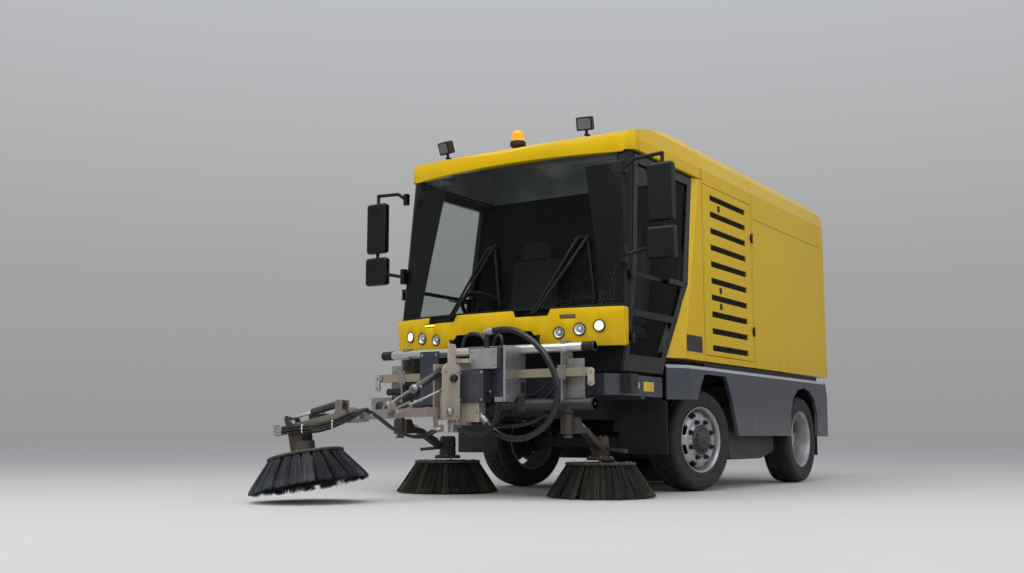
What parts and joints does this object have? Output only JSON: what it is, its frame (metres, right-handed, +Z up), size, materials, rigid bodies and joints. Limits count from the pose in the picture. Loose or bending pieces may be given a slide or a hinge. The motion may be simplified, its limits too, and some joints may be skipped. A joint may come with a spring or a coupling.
{
  "type": "street sweeper truck",
  "caption": "Compact street sweeper truck with cab, louvred engine bay, tipping hopper, steered wheels, side brooms and a front weed broom on a jointed boom.",
  "frame": {"origin": "on the ground under the middle of the whole machine, in its centre plane", "axes": "+Z up, the cab faces -Y, +X is the vehicle's left; the wheels stand on z = 0"},
  "size_m": [2.78, 6.2376, 2.829],
  "materials": {
    "yellow_paint": "gloss",
    "grey_paint": "satin",
    "chassis_paint": "satin",
    "implement_paint": "satin",
    "zinc_steel": "satin",
    "aluminium": "satin",
    "rim_silver": "satin",
    "chrome_rod": "gloss",
    "tinted_glass": "gloss",
    "lamp_glass": "gloss",
    "black_plastic": "matte",
    "tyre": "matte",
    "rubber": "matte",
    "bristle": "matte",
    "seat_fabric": "matte",
    "engine_iron": "matte"
  },
  "bodies": {
    "root": {"chassis_frame": "chassis_paint", "front_axle": "chassis_paint", "rear_axle": "chassis_paint", "engine_block": "engine_iron", "side_skirts": "grey_paint", "front_bumper": "grey_paint", "belly_tank": "chassis_paint", "suction_nozzle": "chassis_paint", "mudflaps": "rubber", "cab_shell": "black_plastic", "windscreen": "tinted_glass", "cab_roof": "yellow_paint", "cab_side_panels": "yellow_paint", "front_panel": "yellow_paint", "lamps": "lamp_glass", "dashboard": "black_plastic", "seats": "seat_fabric", "mirrors": "black_plastic", "wipers": "black_plastic", "engine_housing": "yellow_paint", "implement_frame": "implement_paint", "slide_carriage": "aluminium", "loop_hose": "rubber", "carriage_hoses": "rubber"},
    "steer_left_body": {"knuckle_left": "chassis_paint"},
    "steer_right_body": {"knuckle_right": "chassis_paint"},
    "wheel_front_left": {"tyre_front_left": "tyre", "rim_front_left": "rim_silver"},
    "wheel_front_right": {"tyre_front_right": "tyre", "rim_front_right": "rim_silver"},
    "wheel_rear_left": {"tyre_rear_left": "tyre", "rim_rear_left": "rim_silver"},
    "wheel_rear_right": {"tyre_rear_right": "tyre", "rim_rear_right": "rim_silver"},
    "door_left": {"cab_door_left": "black_plastic", "door_glass_left": "tinted_glass"},
    "door_right": {"cab_door_right": "black_plastic", "door_glass_right": "tinted_glass"},
    "engine_door_left_body": {"engine_door_left": "yellow_paint"},
    "engine_door_right_body": {"engine_door_right": "yellow_paint"},
    "hopper_body": {"hopper": "yellow_paint"},
    "tailgate_body": {"tailgate": "yellow_paint"},
    "mast_body": {"boom_mast": "implement_paint"},
    "boom_body": {"boom": "implement_paint", "boom_hoses": "rubber"},
    "lift_barrel": {"lift_cylinder_barrel": "chassis_paint"},
    "lift_rod": {"lift_cylinder_rod": "chrome_rod"},
    "stay_body": {"tie_rod": "zinc_steel"},
    "outer_arm_body": {"outer_arm": "implement_paint", "arm_hoses": "rubber"},
    "head_body": {"broom_head": "implement_paint"},
    "tilt_barrel": {"tilt_cylinder_barrel": "chassis_paint"},
    "tilt_rod": {"tilt_cylinder_rod": "chrome_rod"},
    "front_broom_body": {"front_broom": "bristle"},
    "left_swivel_body": {"left_swivel": "chassis_paint"},
    "left_arm_body": {"left_broom_arm": "chassis_paint"},
    "left_broom_body": {"left_side_broom": "bristle"},
    "right_swivel_body": {"right_swivel": "chassis_paint"},
    "right_arm_body": {"right_broom_arm": "chassis_paint"},
    "right_broom_body": {"right_side_broom": "bristle"}
  },
  "joints": [
    {"name": "steer_left", "type": "hinge", "parent": "root", "child": "steer_left_body", "pos_m": [0.744, 0.129, 0.405], "axis": [0, 0, 1], "range_deg": [-25.84, 50.16]},
    {"name": "steer_right", "type": "hinge", "parent": "root", "child": "steer_right_body", "pos_m": [-0.744, 0.129, 0.405], "axis": [0, 0, 1], "range_deg": [-25.84, 50.16]},
    {"name": "wheel_spin_front_left", "type": "hinge", "parent": "steer_left_body", "child": "wheel_front_left", "pos_m": [0.80754, 0.11531, 0.405], "axis": [0.9776, -0.2106, 0], "continuous": true},
    {"name": "wheel_spin_rear_left", "type": "hinge", "parent": "root", "child": "wheel_rear_left", "pos_m": [0.8965, 2.209, 0.405], "axis": [1, 0, 0], "continuous": true},
    {"name": "wheel_spin_front_right", "type": "hinge", "parent": "steer_right_body", "child": "wheel_front_right", "pos_m": [-0.80754, 0.14269, 0.405], "axis": [-0.9776, 0.2106, 0], "continuous": true},
    {"name": "wheel_spin_rear_right", "type": "hinge", "parent": "root", "child": "wheel_rear_right", "pos_m": [-0.8965, 2.209, 0.405], "axis": [-1, 0, 0], "continuous": true},
    {"name": "cab_door_left_hinge", "type": "hinge", "parent": "root", "child": "door_left", "pos_m": [1.028, -1.283, 1.34], "axis": [0, 0, -1], "range_deg": [0, 75]},
    {"name": "cab_door_right_hinge", "type": "hinge", "parent": "root", "child": "door_right", "pos_m": [-1.028, -1.283, 1.34], "axis": [0, 0, 1], "range_deg": [0, 75]},
    {"name": "engine_door_left_hinge", "type": "hinge", "parent": "root", "child": "engine_door_left_body", "pos_m": [1.04, 1.013, 1.75], "axis": [0, 0, 1], "range_deg": [0, 90]},
    {"name": "engine_door_right_hinge", "type": "hinge", "parent": "root", "child": "engine_door_right_body", "pos_m": [-1.04, 1.013, 1.75], "axis": [0, 0, -1], "range_deg": [0, 90]},
    {"name": "hopper_tip", "type": "hinge", "parent": "root", "child": "hopper_body", "pos_m": [0, 2.995, 0.982], "axis": [-1, 0, 0], "range_deg": [0, 50]},
    {"name": "tailgate_hinge", "type": "hinge", "parent": "hopper_body", "child": "tailgate_body", "pos_m": [0, 2.895, 2.816], "axis": [1, 0, 0], "range_deg": [0, 80]},
    {"name": "boom_swing", "type": "hinge", "parent": "root", "child": "mast_body", "pos_m": [-0.092, -1.883, 0.75], "axis": [0, 0, 1], "range_deg": [-25, 40]},
    {"name": "boom_lift", "type": "hinge", "parent": "mast_body", "child": "boom_body", "pos_m": [-0.13635, -1.95484, 0.604], "axis": [-0.9742, 0.2256, 0], "range_deg": [0, 30]},
    {"name": "lift_barrel_pivot", "type": "hinge", "parent": "mast_body", "child": "lift_barrel", "pos_m": [-0.12868, -1.92172, 0.905], "axis": [-0.9742, 0.2256, 0], "range_deg": [0, 24]},
    {"name": "lift_rod_slide", "type": "slide", "parent": "lift_barrel", "child": "lift_rod", "axis": [-0.1985, -0.8572, -0.4753], "range_m": [-0.145, 0]},
    {"name": "stay_pivot", "type": "hinge", "parent": "mast_body", "child": "stay_body", "pos_m": [-0.06536, -1.93639, 0.781], "axis": [-0.9742, 0.2256, 0], "range_deg": [0, 29]},
    {"name": "outer_arm_swing", "type": "hinge", "parent": "boom_body", "child": "outer_arm_body", "pos_m": [-0.305, -2.683, 0.588], "axis": [0, 0, 1], "range_deg": [-25, 30]},
    {"name": "broom_tilt", "type": "hinge", "parent": "outer_arm_body", "child": "head_body", "pos_m": [-0.7086, -2.72, 0.455], "axis": [-0.0914, 0.9958, 0], "range_deg": [0, 16]},
    {"name": "tilt_barrel_pivot", "type": "hinge", "parent": "outer_arm_body", "child": "tilt_barrel", "pos_m": [-0.3922, -2.691, 0.6504], "axis": [-0.0914, 0.9958, 0], "range_deg": [0, 3]},
    {"name": "tilt_rod_slide", "type": "slide", "parent": "tilt_barrel", "child": "tilt_rod", "axis": [-0.9693, -0.0889, -0.2293], "range_m": [-0.036, 0]},
    {"name": "front_broom_spin", "type": "hinge", "parent": "head_body", "child": "front_broom_body", "pos_m": [-0.68, -2.721, 0.308], "axis": [-0.1904, -0.0196, 0.9815], "continuous": true},
    {"name": "left_broom_swivel", "type": "hinge", "parent": "root", "child": "left_swivel_body", "pos_m": [0.73, -1.671, 0.512], "axis": [0, 0, -1], "range_deg": [-12, 25]},
    {"name": "left_broom_lift", "type": "hinge", "parent": "left_swivel_body", "child": "left_arm_body", "pos_m": [0.73, -1.593, 0.484], "axis": [1, 0, 0], "range_deg": [0, 15]},
    {"name": "left_broom_spin", "type": "hinge", "parent": "left_arm_body", "child": "left_broom_body", "pos_m": [0.682, -1.138, 0.236], "axis": [0, 0, 1], "continuous": true},
    {"name": "right_broom_swivel", "type": "hinge", "parent": "root", "child": "right_swivel_body", "pos_m": [-0.73, -1.671, 0.512], "axis": [0, 0, 1], "range_deg": [-12, 25]},
    {"name": "right_broom_lift", "type": "hinge", "parent": "right_swivel_body", "child": "right_arm_body", "pos_m": [-0.73, -1.593, 0.484], "axis": [1, 0, 0], "range_deg": [0, 15]},
    {"name": "right_broom_spin", "type": "hinge", "parent": "right_arm_body", "child": "right_broom_body", "pos_m": [-0.682, -1.138, 0.236], "axis": [0, 0, 1], "continuous": true}
  ],
  "couplings": [
    {"joint": "steer_right", "follows": "steer_left", "ratio": 1},
    {"joint": "lift_barrel_pivot", "follows": "boom_lift", "ratio": 0.7332},
    {"joint": "lift_rod_slide", "follows": "boom_lift", "m_per_rad": -0.2709},
    {"joint": "stay_pivot", "follows": "boom_lift", "ratio": 0.8717},
    {"joint": "tilt_barrel_pivot", "follows": "broom_tilt", "ratio": 0.1519},
    {"joint": "tilt_rod_slide", "follows": "broom_tilt", "m_per_rad": -0.12381}
  ]
}
